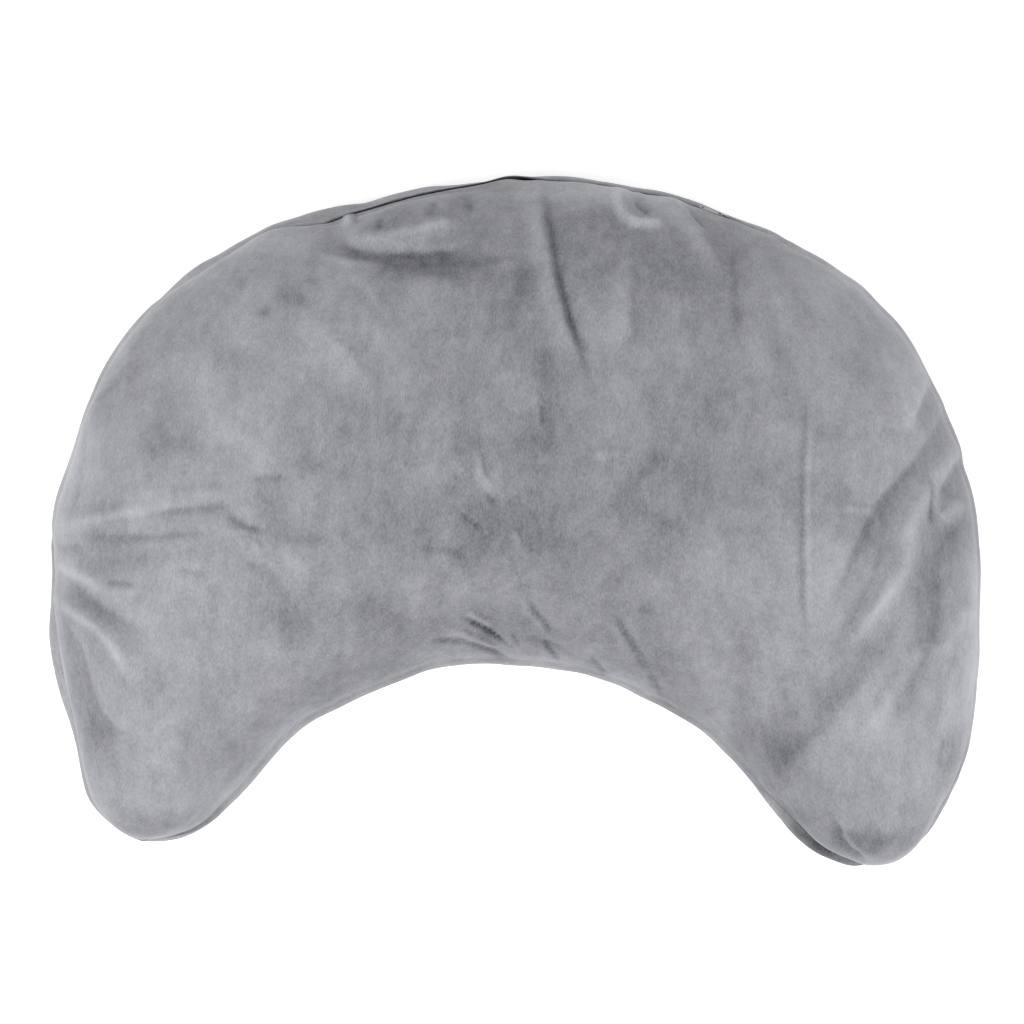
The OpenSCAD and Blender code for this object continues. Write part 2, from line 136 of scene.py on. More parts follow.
class Outline:
    """Half of the outline, from the rear centre round the arm's end to the waist centre."""

    def __init__(self):
        turns = np.radians([REAR_TURN, SHOULDER_TURN, SIDE_TURN, TIP_TURN])
        radii = [REAR_R, SHOULDER_R, SIDE_R, TIP_R]
        h = np.concatenate([[0.0], np.cumsum(turns)])
        centre = np.array([0.0, -REAR_R])
        centres = [centre]
        for i in range(1, 4):
            centre = centre - (radii[i - 1] - radii[i]) * inward(h[i])
            centres.append(centre)
        rear_y = (TIP_R - centres[3][1]) / 2
        self.centres = [c + [0.0, rear_y] for c in centres]
        self.radii, self.h = radii, h
        self.tip_end = self.centres[3] - TIP_R * inward(h[4])
        self.straight = (WAIST_R * inward(h[4])[0] - self.tip_end[0]) / ahead(h[4])[0]
        start = self.tip_end + self.straight * ahead(h[4])
        self.waist_centre = start - WAIST_R * inward(h[4])
        lengths = [r * t for r, t in zip(radii, turns)]
        lengths += [self.straight, WAIST_R * (h[4] - math.pi)]
        self.s = np.concatenate([[0.0], np.cumsum(lengths)])
        self.tip = self.s[3] + lengths[3] / 2

    def at(self, s):
        """Point and outward direction at distances s along the half outline."""
        s = np.asarray(s, float)
        point = np.zeros(s.shape + (2,))
        head = np.zeros(s.shape)
        for i in range(4):
            on = (s >= self.s[i] - 1e-12) & ((s < self.s[i + 1]) | (i == 3))
            hh = self.h[i] + (s - self.s[i]) / self.radii[i]
            head = np.where(on, hh, head)
            point = np.where(on[..., None], self.centres[i] - self.radii[i] * inward(hh), point)
        on = s >= self.s[4]
        line = self.tip_end + (s - self.s[4])[..., None] * ahead(self.h[4])
        head = np.where(on, self.h[4], head)
        point = np.where(on[..., None], line, point)
        on = s >= self.s[5]
        hh = self.h[4] - (s - self.s[5]) / WAIST_R
        head = np.where(on, hh, head)
        point = np.where(on[..., None], self.waist_centre + WAIST_R * inward(hh), point)
        return point, -inward(head)


OUTLINE = Outline()


def smooth(x):
    t = np.clip(x, 0.0, 1.0)
    return t * t * (3 - 2 * t)


def mix(a, b, t):
    return a + (b - a) * t


def zip_angle(p):
    return np.degrees(np.arctan2(p[..., 1] - ZIP_Y, p[..., 0] - ZIP_X))


def zip_share(p):
    middle = (ZIP_CLOSED_A + ZIP_OPEN_A) / 2
    half = (ZIP_OPEN_A - ZIP_CLOSED_A) / 2
    past = np.radians(np.abs(zip_angle(p) - middle) - half) * ZIP_R
    return np.where(p[..., 1] < 0, 0.0, 1 - smooth((past - ZIP_HOLD) / ZIP_FADE))


def to_zip(p, out):
    """Distance from outline points, inward, to the zip's circle."""
    v = p - np.array([ZIP_X, ZIP_Y])
    along = (v * out).sum(-1)
    return along - np.sqrt(np.maximum(along * along - (v * v).sum(-1) + ZIP_R ** 2, 0))


class Rows:
    """Chords from the waist side to the outer side, from the left tip to the right tip."""

    def __init__(self, n, first=0.0008):
        tip, end = OUTLINE.tip, OUTLINE.s[-1]
        u = (first + (tip - first) * np.arange(n + 1) / n) / tip
        half_out, half_out_n = OUTLINE.at(tip - u * tip)
        half_in, half_in_n = OUTLINE.at(tip + (1 - (1 - u) ** INNER_POWER) * (end - tip))
        flip = np.array([-1.0, 1.0])

        def both(v):
            return np.concatenate([v * flip, v[-2::-1]])

        self.a, self.a_out = both(half_in), both(half_in_n)
        self.b, self.b_out = both(half_out), both(half_out_n)
        self.w = np.linalg.norm(self.a - self.b, axis=1)


class Layer:
    """How far a layer of the pillow is inside the cover's own surface."""

    def __init__(self, inset=0.0, seam=SEAM_INSET, drop=0.0, under=0.0, zip_room=0.0):
        self.inset, self.seam, self.drop = inset, seam, drop
        self.under, self.zip_room = under, zip_room

    def ease(self, rows):
        w = np.linalg.norm((rows.b - self.inset * rows.b_out)
                           - (rows.a - self.inset * rows.a_out), axis=1)
        return np.where(w >= FULL_CHORD, 1.0, 1 - (1 - w / FULL_CHORD) ** 2)

    def seam_inset(self, p, out, k):
        share = zip_share(p)
        own = self.inset + (self.seam - self.inset) * k
        least = self.inset + 0.001 if self.zip_room else 0.0
        return mix(own, np.maximum(least, to_zip(p, out) + self.zip_room), share)


def lifted(p, z):
    return np.concatenate([p, np.broadcast_to(z, p.shape[:-1])[..., None]], -1)


def zip_out(out):
    return lifted(out * math.cos(ZIP_LEAN), math.sin(ZIP_LEAN))


def zip_up(out):
    return lifted(-out * math.sin(ZIP_LEAN), math.cos(ZIP_LEAN))


# The crown's shape: its power, how close its columns come to the rim's steepest part, and
# the chord length over which it rises from an arm's height to the middle's
CROWN_POWER, CROWN_SPREAD, CROWN_WAY = 2.25, 0.93, 0.18


def top_grid(rows, layer, columns):
    """Upper surface, one row of points for each chord, from the waist side's seam."""
    k = layer.ease(rows)
    a = lifted(rows.a - layer.seam_inset(rows.a, rows.a_out, k)[:, None] * rows.a_out, SEAM_Z)
    b = lifted(rows.b - layer.seam_inset(rows.b, rows.b_out, k)[:, None] * rows.b_out, SEAM_Z)
    rise = mix(ARM_RISE, MIDDLE_RISE, smooth((rows.w - FULL_CHORD) / CROWN_WAY)) - layer.drop
    high = rise + BULGE_DROP
    reach = (1 - (BULGE_DROP / high) ** CROWN_POWER) ** (1 / CROWN_POWER)
    f = np.linspace(-1, 1, columns + 1)
    r = np.sin(f * math.pi / 2 * CROWN_SPREAD) / math.sin(math.pi / 2 * CROWN_SPREAD)
    shape = (1 - (np.abs(r)[None, :] * reach[:, None]) ** CROWN_POWER) ** (1 / CROWN_POWER)
    z = k[:, None] * (high[:, None] * shape - BULGE_DROP)
    grid = ((a + b) / 2)[:, None, :] + ((b - a) / 2)[:, None, :] * r[None, :, None]
    grid[:, :, 2] += z
    return grid


def under_grid(rows, layer, bulge, under, flat):
    """Lower surface, from the waist side's seam round the widest line to the other seam."""
    k = layer.ease(rows)
    sides = []
    ends = {"a": rows.a - layer.inset * rows.a_out, "b": rows.b - layer.inset * rows.b_out}
    middle = (ends["a"] + ends["b"]) / 2
    widest = SEAM_Z - BULGE_DROP
    for name, p, out in (("a", rows.a, rows.a_out), ("b", rows.b, rows.b_out)):
        seam = layer.seam_inset(p, out, k)
        columns = []
        for t in np.linspace(1, 0, bulge + 1):
            d = mix(layer.inset, seam, t * t)
            columns.append(lifted(p - d[:, None] * out, SEAM_Z - k * BULGE_DROP * (1 - t)))
        half = np.linalg.norm(ends[name] - middle, axis=1)
        share = np.maximum(0.5, 1 - UNDER_ROUND / half)
        for f in np.linspace(0, math.pi / 2, under + 1)[1:]:
            r = share + (1 - share) * math.cos(f)
            z = mix(SEAM_Z, layer.under + (widest - layer.under) * (1 - math.sin(f)), k)
            columns.append(lifted(middle + (ends[name] - middle) * r[:, None], z))
        for f in np.linspace(1, 0, flat + 1)[1:-1]:
            columns.append(lifted(middle + (ends[name] - middle) * (share * f)[:, None],
                                  mix(SEAM_Z, layer.under, k)))
        sides.append(np.stack(columns, 1))
    centre = lifted(middle, mix(SEAM_Z, layer.under, k))[:, None, :]
    return np.concatenate([sides[0], centre, sides[1][:, ::-1]], 1)


# -------- meshes from grids
def grid_faces(n, m, up):
    i, j = np.meshgrid(np.arange(n - 1), np.arange(m - 1), indexing="ij")
    a = i * m + j
    quads = np.stack([a, a + m, a + m + 1, a + 1], -1).reshape(-1, 4)
    return quads if up else quads[:, ::-1]


def make_object(name, points, faces, material=None):
    mesh = bpy.data.meshes.new(name)
    mesh.from_pydata(points.tolist(), [], [list(map(int, f)) for f in faces])
    mesh.update()
    mesh.validate()
    mesh.shade_smooth()
    if material:
        mesh.materials.append(material)
    obj = bpy.data.objects.new(name, mesh)
    bpy.context.collection.objects.link(obj)
    return obj


def sheet_object(name, grid, up, material, flange=0):
    """A sheet through a grid of points, closed at both arm ends by a small fan."""
    n, m = grid.shape[:2]
    faces = [list(f) for f in grid_faces(n, m, up)]
    first = list(range(flange, m - flange))
    last = [(n - 1) * m + j for j in first]
    faces += [first[::-1] if up else first, last if up else last[::-1]]
    return make_object(name, grid.reshape(-1, 3), faces, material)


def normals(grid):
    """Upward normals of a grid whose rows run +X and whose columns run +Y."""
    du = np.gradient(grid, axis=0)
    dv = np.gradient(grid, axis=1)
    n = np.cross(du, dv)
    return n / np.maximum(np.linalg.norm(n, axis=-1, keepdims=True), 1e-12)


def paint(obj, name, values):
    layer = obj.data.attributes.new(name, "FLOAT", "POINT")
    layer.data.foreach_set("value", np.asarray(values, np.float32).ravel())


# -------- the cloth's own shape
# Painted light and shade: the pile is painted lighter where the folds lean the cloth this way, and
# darker where they lean it away, by this much
LIGHT_WAY, PAINTED_SLOPE_SHADE = np.array([-0.62, -0.78, 0.0]), 0.38
# Painted highlight on the seams' folded edges, painted shade inside the slit and along the waist, and
# their reach
PAINTED_EDGE_HIGHLIGHT, PAINTED_GAP_SHADE, PAINTED_WAIST_SHADE = 0.12, -0.6, -0.12
EDGE_WAY, EDGE_REACH, LIP_EDGE_REACH, WAIST_REACH = 0.0022, 0.0016, 0.0014, 0.022
# No crease is deeper than this, because the insert lies below
DEEPEST = 0.0026
# Gathers across the seams: height and length of each wave, and their reach over the cloth
PUCKER_HEIGHT, PUCKER_REACH = 0.00030, 0.009
PUCKER_WAVES = ((0.4, 0.015), (0.7, 0.034))
# Slow waves of the slack cloth: height and length
TOP_WAVES = ((0.0011, 0.085), (0.0004, 0.034))
UNDER_WAVES = ((0.0009, 0.07), (0.0003, 0.03))
# Creases of the under panel: length between them, width as a share of a wave, depth, and the painted
# shade in them
CREASE_LENGTH, CREASE_SHARE, CREASE_DEPTH, CREASE_PAINTED_SHADE = 0.12, 0.10, 0.0016, 0.05


def waves(x, y, wavelength, count=26, draw=RNG):
    """Smooth random height, about -1 to 1, from summed waves of that mean length."""
    total = np.zeros(np.shape(x))
    for _ in range(count):
        turn, phase = draw.uniform(0.0, 2 * math.pi, 2)
        k = 2 * math.pi / (wavelength * draw.uniform(0.7, 1.5))
        total += np.cos((x * math.cos(turn) + y * math.sin(turn)) * k + phase)
    return total / math.sqrt(count * 1.4)


def summed_waves(x, y, table):
    return sum(height * waves(x, y, length) for height, length in table)


# Folds and creases, in millimetres: height, width, tone of the pile there (painted light
# along the ridges and painted shade along the creases), and points along the line on the plan
# as it looks from straight above. A ridge is steeper on the left of its line, and a crease is
# steeper on the right.
FOLDS = (
    # the roll of slack cloth below the slit's left end, over a long crease
    (3.2, 9, 0.06, ((-46, 192), (-90, 176), (-118, 180))),
    (-2.4, 5.5, -0.14, ((-36, 172), (-80, 166), (-116, 170), (-122, 182))),
    (-0.8, 9, -0.07, ((0, 166), (-50, 162), (-104, 160))),
    (0.6, 2.4, 0.12, ((-48, 188), (-72, 180), (-100, 173))),
    (0.6, 2.6, 0.09, ((-136, 163), (-112, 160), (-92, 160))),
    (-1.2, 3, -0.12, ((-59, 198), (-66, 188))),
    (-1, 2.5, -0.1, ((-95, 186), (-96, 178))),
    (-1.2, 3, -0.1, ((-41, 205), (-38, 194))),
    (2, 3.5, 0.06, ((-120, 186), (-112, 187))),
    # the long fold down from the slit, and the soft ones beside it
    (2.4, 6, 0.09, ((4, 212), (12, 170), (24, 125), (40, 100))),
    (-1.5, 4, -0.1, ((9, 210), (15, 176), (28, 130), (47, 82))),
    (-0.8, 6, -0.05, ((2, 170), (-4, 142))),
    (-1, 9, -0.08, ((12, 120), (16, 55))),
    (0.4, 1.6, 0.08, ((8, 80), (11, 56))),
    (0.8, 7, 0.06, ((62, 165), (62, 115))),
    (-0.8, 5, -0.07, ((72, 165), (70, 110))),
    (0.6, 4, 0.05, ((30, 160), (56, 183))),
    (0.8, 9, 0.06, ((153, 140), (157, 95))),
    (0.6, 6, 0.05, ((-80, 152), (-35, 146))),
    (0.6, 3, 0.06, ((-24, 158), (-8, 166))),
    # small creases in the middle
    (0.6, 2.5, 0.07, ((-28, 41), (-25, 26), (-16, 16))),
    (-0.6, 6, -0.08, ((-40, 28), (-45, 11))),
    (-0.6, 2.2, -0.1, ((-23, 14), (-16, 7))),
    (-0.6, 2.2, -0.08, ((-38, 0), (-23, -10))),
    (-0.7, 5, -0.08, ((-63, -24), (-45, -23), (-32, -28))),
    (0.5, 2, 0.07, ((-3, -9), (2, -20))),
    (-0.5, 3, -0.06, ((6, -21), (18, -21))),
    (0.4, 2, 0.07, ((41, 40), (68, 43))),
    (-0.6, 14, -0.06, ((100, 60), (61, 4))),
    # tension lines at the waist
    (-1, 2, -0.08, ((64, -60), (82, -88), (100, -117))),
    (0.4, 2, 0.05, ((60, -62), (78, -90))),
    (-0.7, 1.8, -0.06, ((8, -55), (26, -76))),
    (0.3, 1.8, 0.05, ((5, -57), (23, -78))),
    (-1.5, 2, -0.08, ((-34, -67), (-18, -75), (-3, -85))),
    (0.6, 2, 0.05, ((-31, -63), (-14, -72))),
    (-1.6, 2.2, -0.09, ((-54, -83), (-31, -84), (-15, -89), (-2, -94))),
    (-0.8, 2, -0.06, ((-2, -77), (4, -84))),
    (-0.8, 1.8, -0.06, ((4, -79), (18, -81), (38, -89))),
    (-1.2, 2.2, -0.09, ((18, -81), (30, -94))),
    (-1, 2.2, -0.09, ((48, -88), (60, -100))),
    (1, 3, 0.04, ((-39, -76), (-11, -87))),
    # the V of cloth below the slit's right half
    (3, 4.5, 0.1, ((87, 193), (64, 193), (55, 213))),
    (-3, 5, -0.18, ((66, 207), (78, 195))),
    (2.2, 4.5, 0.08, ((87, 207), (105, 190), (122, 163))),
    (-1.2, 3, -0.1, ((113, 188), (101, 202))),
    (-1, 5, -0.07, ((132, 188), (135, 150), (139, 120))),
    # a crease from packing
    (-1, 2, -0.12, ((183, 84), (182, 20), (187, -81))),
    (0.6, 2.2, 0.08, ((186, 80), (186, 20), (190, -60))),
    # deep folds on the right side
    (-2.8, 4.5, -0.15, ((271, 76), (258, 48), (234, 16), (221, -13), (208, -45))),
    (-1.8, 6, -0.1, ((250, 38), (238, 14), (233, -26), (215, -62))),
    (2.8, 4.8, 0.15, ((216, -79), (248, -22), (254, 9), (273, 52))),
    (-2.4, 2.5, -0.15, ((267, 4), (264, 38))),
    (-2.4, 8, -0.13, ((248, -117), (269, -70), (273, -14), (287, 14))),
    (-2, 5.5, -0.13, ((284, 49), (271, 22))),
    (1.4, 4.5, 0.12, ((272, 7), (284, 22))),
    (1.6, 6, 0.09, ((273, -149), (291, -70), (292, -4))),
    (1.6, 4.5, 0.1, ((274, -78), (290, -44))),
    (2, 6, 0.1, ((225, -134), (249, -97), (268, -66))),
    (-2, 8, -0.11, ((170, -159), (211, -108), (228, -86), (254, -48))),
    (-0.8, 3.5, -0.07, ((262, 96), (253, 70))),
    (-0.5, 8, -0.06, ((151, -75), (146, -125))),
    (0.4, 5, 0.05, ((138, -108), (136, -131))),
    (0.4, 5, 0.05, ((164, -101), (162, -130))),
    (-0.4, 5, -0.05, ((171, -94), (185, -129))),
    (1.2, 4.5, 0.09, ((256, 98), (246, 62))),
    (0.4, 2, 0.07, ((205, 13), (230, 12))),
    (-0.6, 2, -0.08, ((278, -130), (275, -152))),
    # the right arm's end
    (-0.6, 8, -0.07, ((262, -163), (250, -198), (229, -202))),
    (-1.5, 3, -0.13, ((232, -216), (218, -202), (210, -187))),
    (0.8, 2.5, 0.06, ((226, -209), (214, -195))),
    # bands across the left side, and the crease that they run to
    (1.2, 4, 0.06, ((-206, 2), (-251, -6), (-296, -17))),
    (-0.8, 3, -0.07, ((-244, -7), (-180, 1))),
    (0.5, 4, 0.05, ((-255, 4), (-185, 9))),
    (-0.8, 3, -0.05, ((-290, -23), (-240, -22), (-196, -17))),
    (-1, 3, -0.08, ((-296, -32), (-280, -29))),
    (-0.5, 9, -0.06, ((-285, -39), (-205, -29))),
    (-0.8, 2, -0.08, ((-265, -53), (-245, -53))),
    (0.3, 3, 0.05, ((-265, -57), (-242, -57))),
    (-0.7, 2.2, -0.06, ((-221, -43), (-197, -44))),
    (-1.6, 4.5, -0.07, ((-188, -3), (-178, -11), (-164, -15))),
    (0.8, 2, 0.06, ((-169, -22), (-166, -30))),
    (-0.8, 3.5, -0.06, ((-172, -34), (-169, -40))),
    (-0.8, 10, -0.08, ((-170, -36), (-150, -50), (-141, -92))),
    (-0.6, 8, -0.07, ((-165, -16), (-121, -21))),
    # wide folds at the left edge
    (-2, 9, -0.06, ((-236, -86), (-272, -66), (-300, -42))),
    (1.2, 4.5, 0.09, ((-266, -56), (-298, -42))),
    (2, 6, 0.1, ((-243, -112), (-265, -84), (-298, -63))),
    (-2.6, 8.5, -0.1, ((-244, -152), (-268, -138), (-281, -105), (-296, -72))),
    (-0.5, 2.5, -0.05, ((-280, 48), (-287, -17))),
    (-0.8, 2, -0.08, ((-275, 63), (-257, 81))),
    # soft bands on the upper left
    (0.9, 8, 0.06, ((-145, 127), (-97, 78))),
    (0.9, 8, 0.06, ((-106, 148), (-82, 108))),
    (-0.8, 7, -0.06, ((-118, 153), (-81, 112))),
    (-0.6, 8, -0.06, ((-149, 34), (-101, 22))),
    (0.6, 9, 0.05, ((-204, 62), (-157, 25))),
    (-0.5, 10, -0.05, ((-241, 32), (-222, 43))),
    (-0.6, 2, -0.08, ((-175, 17), (-151, 20))),
)
# Spots of crushed pile, and wide areas of painted light and shade: place, reach across and along, tone
SPOTS = (
    (-169, 125, 4, 4, -0.2), (-157, 132, 7, 6, -0.14), (-152, 139, 5, 5, -0.14),
    (-146, 133, 4, 5, -0.15), (-140, 146, 5, 4, -0.14), (-189, 97, 8, 7, -0.1),
    (83, -59, 6, 5, -0.16), (94, 1, 12, 9, -0.08), (132, -4, 8, 6, -0.08),
    (199, -22, 6, 5, -0.1), (158, -4, 6, 6, -0.08), (63, 4, 7, 6, -0.06),
    (0, 20, 175, 80, -0.2), (10, 165, 150, 42, -0.2), (-15, -72, 150, 26, -0.2),
    (165, -150, 35, 45, -0.14), (-190, -150, 30, 45, -0.1), (-240, -60, 60, 90, 0.04),
    (-125, -122, 45, 20, -0.26), (97, -98, 30, 20, -0.14), (234, -202, 30, 10, -0.22),
    (170, -150, 22, 22, -0.1), (-292, 15, 14, 40, 0.18), (-295, -46, 10, 30, 0.1),
    (-28, -50, 35, 24, 0.14), (-20, 22, 70, 14, 0.08), (187, -30, 30, 40, 0.1),
    (72, 212, 62, 10, 0.34), (-10, 118, 45, 30, -0.06), (-20, -10, 60, 18, -0.1),
    (205, 2, 32, 20, -0.13), (-168, 172, 35, 14, 0.2), (-200, 48, 35, 30, 0.07),
    (95, -62, 30, 20, 0.12), (-215, -212, 36, 14, -0.22), (107, -121, 22, 12, -0.24),
    (198, 160, 34, 20, 0.18), (282, 2, 14, 20, -0.16), (-120, 147, 50, 14, 0.15),
    (-95, 177, 16, 8, -0.12), (93, 195, 18, 18, 0.13), (295, -83, 10, 35, 0.14),
    (36, -63, 22, 14, 0.12), (-37, -34, 26, 14, -0.14), (254, 102, 20, 16, 0.12),
    (186, -188, 20, 14, -0.2), (-75, -106, 34, 11, -0.16), (52, -99, 16, 10, -0.14),
    (286, -150, 14, 22, -0.13), (-168, -127, 18, 14, 0.12), (-187, 20, 24, 14, 0.1),
    (122, -54, 18, 18, -0.11), (-30, 91, 14, 16, -0.1), (124, 80, 16, 40, -0.11),
)
# Shaded parts of the under panel's rim, in the same form
UNDER_SPOTS = ((206, -203, 44, 22, -0.52), (160, -158, 40, 16, -0.20))
# The outline's departures from its arcs: place, reach, distance outwards
OUTLINE_WAVES = (
    (215, 150, 55, 3.8), (150, 187, 45, 2.8), (86, 207, 40, 2.8), (20, 217, 30, 2.8),
    (-40, 215, 28, -2.6), (-109, 201, 35, -3.2), (-165, 181, 30, 1.9), (-274, 70, 40, 2.5),
    (-294, -2, 40, 3.4), (-298, -79, 40, 2.4), (-283, -157, 30, -2.2), (-180, -172, 40, 0.8),
    (13, -94, 37, 3.3), (-66, -103, 30, 1.0), (120, -125, 55, 1.4), (182, -178, 40, 1.6),
    (232, -217, 6, -2.4), (285, -145, 38, 6.0), (290, 20, 35, 1.7),
)
# How far the slit's line lies outwards from the zip's circle, and how far its upper lip
# stands off the lower one. Each has a steady part, in millimetres, and waves: angle round
# the circle and reach in degrees, then distance in millimetres.
SLIT_OUT, LIP_OPEN = 1.0, 0.5
SLIT_WAVES = ((108, 9.5, -1.9), (93.8, 2.6, 3.2), (81.3, 1.1, -1.8), (76, 1.2, 1.4), (70, 1.8, 1.0))
LIP_WAVES = ((80, 12, 1.0), (107, 3.5, 0.4), (92.4, 1.4, 1.8), (81.4, 0.9, 2.4), (70.5, 1.2, 1.6))
# Gains of the folds' heights and of the light and shade painted along them
FOLD_GAIN, FOLD_LIGHT_AND_SHADE_GAIN = 1.35, 1.3
RIDGE_POWER, CREASE_POWER, FOLD_LEAN = 2.0, 1.4, 0.35
FOLD_ENDS = 0.35          # share of a fold's length over which each end fades
WAVE_REACH = 0.045
FLANGE = 3                # rows of points in each seam allowance
FLANGE_DEPTH, LIP_FLANGE_DEPTH = 0.006, 0.0005
CLOTH_FRAMES, CLOTH_PRESSURE, CLOTH_SLACK, CLOTH_BEND = 18, 1.5, 0.05, 0.4
# The cap on how far the simulation moves a point, the share of its wide swelling that is
# taken out again, and how many rounds of smoothing tell what is wide
CLOTH_CAP, CLOTH_TAKE_OUT, CLOTH_SMOOTHING = 0.006, 0.8, 60
# How far the seam rolls down out of sight: by direction from the middle on the outer side,
# and by place along X on the waist side
ROLL_TURNS = (-180, -171, -146, -136, -120, -60, -42, -28, -10, 0, 34, 66, 118, 144, 158, 168, 180)
ROLL_OUTER = (0.9, 0.0, 0.0, 0.5, 1.0, 0.0, 0.0, 0.5, 0.8, 1.0, 1.0, 0.3, 0.0, 0.0, 0.9, 0.9, 0.9)
ROLL_PLACES = (-300, -150, 120, 180, 300)
ROLL_WAIST = (0.95, 1.0, 1.0, 0.0, 0.0)
ROLL_WAY, ROLL_REACH = 0.030, 0.042
# Where the seam lies further in: place, reach, distance
SEAM_INWARD = ((214, -205, 28, 7.0), (-200, 150, 30, 1.5), (-288, -115, 45, 2.0))
# Reach over the cloth of a shift of the slit and of the seam, on each panel, and of the lift
# of the slit's upper lip, which goes back and up by these shares
HELD_REACH, SEAM_SHIFT_EASE = 0.004, 1.6
SLIT_REACH_TOP, SLIT_REACH_UNDER = 0.014, 0.006
SEAM_REACH_TOP, SEAM_REACH_UNDER = 0.020, 0.006
LIP_REACH, LIP_BACK, LIP_UP = 0.007, 0.8, 0.7
# The dip along a sewn seam, the raised hem beside the slit, and the gap between the panels
SEAM_DIP, SEAM_DIP_REACH = 0.0016, 0.0022
HEM_RISE, HEM_WAY, HEM_REACH = 0.0007, 0.0028, 0.0018
SEAM_GAP, GAP_REACH = 0.00012, 0.003


def smooth_line(points, per=6):
    """A curve through the points, cut into short straight steps."""
    p = np.array(points, float) * MM
    if len(p) == 2:
        return p
    q = np.vstack([2 * p[0] - p[1], p, 2 * p[-1] - p[-2]])
    t = np.linspace(0, 1, per, endpoint=False)[:, None]
    spans = []
    for a, b, c, d in zip(q, q[1:], q[2:], q[3:]):
        bend = (2 * a - 5 * b + 4 * c - d) * t + (3 * b - a - 3 * c + d) * t * t
        spans.append(b + 0.5 * t * (c - a + bend))
    return np.vstack(spans + [p[-1:]])


def stroke(plan, points, width, power, lean):
    """1 on the line, falling off over width beside it, wider by lean on its right."""
    line = smooth_line(points)
    reach = 3 * width
    near = ((plan > line.min(0) - reach) & (plan < line.max(0) + reach)).all(-1)
    p = plan[near]
    steps = np.diff(line, axis=0)
    lengths = np.linalg.norm(steps, axis=1)
    starts = np.concatenate([[0.0], np.cumsum(lengths)])
    best = np.full(len(p), 9.0)
    place, side = np.zeros(len(p)), np.zeros(len(p))
    for a, v, length, start in zip(line, steps, lengths, starts):
        t = np.clip((p - a) @ v / length ** 2, 0, 1)
        d = np.linalg.norm(p - a - t[:, None] * v, axis=1)
        closer = d < best
        best = np.where(closer, d, best)
        place = np.where(closer, start + t * length, place)
        across = (v[1] * (p[:, 0] - a[0]) - v[0] * (p[:, 1] - a[1])) / length / width
        side = np.where(closer, np.clip(across, -1, 1), side)
    ends = FOLD_ENDS * starts[-1]
    fade = smooth(place / ends + 0.25) * smooth((starts[-1] - place) / ends + 0.25)
    out = np.zeros(plan.shape[:-1])
    out[near] = np.exp(-(best / width / (1 + lean * side)) ** power) * fade
    return out


def from_above(points):
    """Where points look to be on the plan at the widest line's height, from the camera."""
    camera = bpy.context.scene.camera.location
    aim = np.array(camera)[:2]
    scale = (camera.z - WIDEST_Z) / (camera.z - points[..., 2])
    return aim + (points[..., :2] - aim) * scale[..., None]


def spots(plan, table):
    """Sum of soft oval spots of tone."""
    total = np.zeros(plan.shape[:-1])
    for x, y, across, along, shade in table:
        away = (plan / MM - np.array([x, y])) / np.array([across, along])
        total += shade * np.exp(-(away ** 2).sum(-1))
    return total


def folds_and_tones(points):
    """Height of the folds at points of the upper panel, and tone of the pile: painted light and shade
    along the folds and in wide areas, with spots of crushed pile.
    """
    plan = from_above(points)
    height = np.zeros(plan.shape[:-1])
    tone = np.zeros(plan.shape[:-1])
    for rise, width, shade, line in FOLDS:
        power, lean = (RIDGE_POWER, FOLD_LEAN) if rise > 0 else (CREASE_POWER, -FOLD_LEAN)
        share = stroke(plan, line, width * MM, power, lean)
        height += FOLD_GAIN * rise * MM * share
        # painted light on the ridges and painted shade in the creases
        tone += FOLD_LIGHT_AND_SHADE_GAIN * shade * share
    # the spots add crushed pile and wide areas of painted light and shade
    return height, tone + spots(plan, SPOTS)


def shifts(p, table):
    """Sum of soft shifts of the outline's points."""
    total = np.zeros(len(p))
    for x, y, reach, distance in table:
        away = np.linalg.norm(p / MM - np.array([x, y]), axis=1) / reach
        total += distance * MM * np.exp(-away ** 2)
    return total


def seam_roll(p, outer):
    """Share of the full roll of the seam, down out of sight."""
    turn = np.degrees(np.arctan2(p[:, 1], p[:, 0]))
    place = p[:, 0] / MM
    if outer:
        raw = np.interp(turn, ROLL_TURNS, ROLL_OUTER)
    else:
        raw = np.interp(place, ROLL_PLACES, ROLL_WAIST)
    return smooth(raw) * (1 - zip_share(p))


def roll_seams(top, under, rows):
    """Slides the seams down round the cloth, without changing the pillow's shape."""
    top, under = top.copy(), under.copy()
    ease = np.minimum(1.0, rows.w / FULL_CHORD) ** 2
    rolls = (seam_roll(rows.a, False) * ease, seam_roll(rows.b, True) * ease)
    half_top, half_under = top.shape[1] // 2, under.shape[1] // 2
    for side, roll in enumerate(rolls):
        if side:
            top, under = top[:, ::-1], under[:, ::-1]
        for i in np.nonzero(roll > 0.003)[0]:
            path = np.concatenate([top[i, half_top::-1], under[i, 1:half_under + 1]])
            steps = np.linalg.norm(np.diff(path, axis=0), axis=1)
            at = np.concatenate([[0.0], np.cumsum(steps)])
            way = at - at[half_top]
            new = at + roll[i] * ROLL_WAY * np.exp(-(way / ROLL_REACH) ** 2)
            place = np.stack([np.interp(new, at, path[:, axis]) for axis in range(3)], 1)
            top[i, half_top::-1] = place[:half_top + 1]
            under[i, :half_under + 1] = place[half_top:]
        if side:
            top, under = top[:, ::-1], under[:, ::-1]
    return top, under


def along_slit(p, slit_waves):
    """Sum of waves along the slit, in millimetres."""
    return sum(out * np.exp(-((zip_angle(p) - angle) / reach) ** 2) for angle, reach, out in slit_waves)


def slit_shift(p):
    """How far the slit's line is outwards from its circle."""
    return (SLIT_OUT + along_slit(p, SLIT_WAVES)) * MM


def lip_opening(p):
    """How far the upper lip stands off the lower one."""
    return (LIP_OPEN + along_slit(p, LIP_WAVES)) * MM


def seam_ways(grid):
    """Distance along the cloth from each of its two seams."""
    steps = np.linalg.norm(np.diff(grid, axis=1), axis=2)
    ahead_way = np.concatenate([np.zeros((len(grid), 1)), np.cumsum(steps, 1)], 1)
    return ahead_way, ahead_way[:, -1:] - ahead_way


